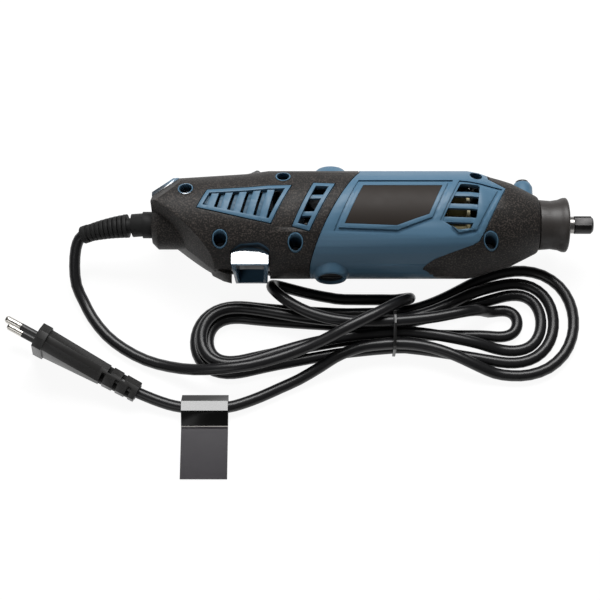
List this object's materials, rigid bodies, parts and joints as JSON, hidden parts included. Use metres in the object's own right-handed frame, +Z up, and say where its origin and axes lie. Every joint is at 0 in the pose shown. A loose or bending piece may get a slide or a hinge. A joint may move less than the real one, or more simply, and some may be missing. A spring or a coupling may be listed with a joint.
{
  "type": "corded rotary tool",
  "caption": "Hand-held mains rotary tool with vented barrel, soft grips, nose cap, collet, speed dial, hanging ring, tied cord and flat mains plug.",
  "frame": {"origin": "centre of the tool's own bounding box in plan, on the table under it (cord, guard, tie, tag and plug left out)", "axes": "+X along the tool's axis from the cord end to the collet, +Z up from the table it lies on, the casing's split plane level"},
  "size_m": [0.3169, 0.1656, 0.0597],
  "materials": {
    "blue_plastic": "moulded, satin",
    "grip_rubber": "soft, fine grain",
    "cap_plastic": "satin",
    "plate_film": "satin film",
    "black_plastic": "satin",
    "inner_plastic": "moulded",
    "fan_nylon": "uncoloured nylon",
    "screw_steel": "zinc plated",
    "spring_steel": "bare",
    "bearing_steel": "ground",
    "core_steel": "laminated",
    "collet_steel": "ground",
    "blackened_steel": "blackened",
    "brass": "drawn",
    "carbon": "pressed carbon",
    "enamelled_copper": "enamelled wire",
    "commutator_copper": "turned copper",
    "board": "coated board",
    "lead_plastic": "insulation",
    "cord_rubber": "smooth flexible sheath",
    "tie_plastic": "coated wire",
    "tag_film": "thin film",
    "plug_plastic": "moulded",
    "pin_nickel": "nickel plated"
  },
  "bodies": {
    "casing": {"upper_housing": "blue_plastic", "lower_housing": "blue_plastic", "tail_grip_upper": "grip_rubber", "tail_grip_lower": "grip_rubber", "nose_grip_upper": "grip_rubber", "nose_grip_lower": "grip_rubber", "rating_plate": "plate_film", "housing_screws": "screw_steel", "brush_cap_front": "black_plastic", "brush_cap_back": "black_plastic", "brush_holder_front": "brass", "brush_holder_back": "brass", "carbon_brush_front": "carbon", "carbon_brush_back": "carbon", "brush_spring_front": "spring_steel", "brush_spring_back": "spring_steel", "field_core": "core_steel", "field_coils": "enamelled_copper", "rear_bearing": "bearing_steel", "front_bearing": "bearing_steel", "spindle_bearing": "bearing_steel", "lock_spring": "spring_steel", "power_switch": "inner_plastic", "speed_control": "inner_plastic", "circuit_board": "board", "ring_pin": "bearing_steel", "cord_clamp": "inner_plastic", "clamp_screws": "screw_steel", "inner_leads": "lead_plastic", "cord_guard": "cord_rubber", "cord_run": "cord_rubber", "cord_hank": "cord_rubber", "cord_plug_run": "cord_rubber", "twist_tie": "tie_plastic", "cord_tag": "tag_film", "plug_body": "plug_plastic", "pin_sleeves": "plug_plastic", "plug_pins": "pin_nickel"},
    "rotor": {"motor_shaft": "bearing_steel", "armature_core": "core_steel", "armature_windings": "enamelled_copper", "commutator": "commutator_copper", "cooling_fan": "fan_nylon"},
    "collet_body": {"collet": "collet_steel"},
    "nut_body": {"collet_nut": "blackened_steel"},
    "cap_body": {"nose_cap": "cap_plastic"},
    "lock_body": {"lock_button": "black_plastic"},
    "slider_body": {"switch_slider": "black_plastic"},
    "dial_body": {"speed_dial": "blue_plastic"},
    "ring_body": {"hanging_ring": "blue_plastic"}
  },
  "joints": [
    {"name": "rotor_spin", "type": "hinge", "parent": "casing", "child": "rotor", "pos_m": [0.01955, 0, 0.0292], "axis": [1, 0, 0], "continuous": true},
    {"name": "collet_slide", "type": "slide", "parent": "rotor", "child": "collet_body", "axis": [1, 0, 0], "range_m": [0, 0.0015]},
    {"name": "nut_turn", "type": "hinge", "parent": "collet_body", "child": "nut_body", "pos_m": [0.11465, 0, 0.0292], "axis": [1, 0, 0], "range_deg": [0, 720]},
    {"name": "cap_unscrew", "type": "slide", "parent": "casing", "child": "cap_body", "axis": [1, 0, 0], "range_m": [0, 0.04]},
    {"name": "lock_press", "type": "slide", "parent": "casing", "child": "lock_body", "axis": [0, -1, 0], "range_m": [0, 0.003], "stiffness_N_per_m": 900, "springref_m": -0.001, "deforming": ["lock_spring"]},
    {"name": "switch_slide", "type": "slide", "parent": "casing", "child": "slider_body", "axis": [1, 0, 0], "range_m": [0, 0.006]},
    {"name": "dial_turn", "type": "hinge", "parent": "casing", "child": "dial_body", "pos_m": [-0.10895, 0.0148, 0.0292], "axis": [0, 0, 1], "range_deg": [0, 300]},
    {"name": "ring_swing", "type": "hinge", "parent": "casing", "child": "ring_body", "pos_m": [-0.06515, -0.0244, 0.0204], "axis": [1, 0, 0], "range_deg": [0, 90]}
  ],
  "couplings": [
    {"joint": "nut_turn", "follows": "collet_slide", "rad_per_m": 8377.6}
  ]
}
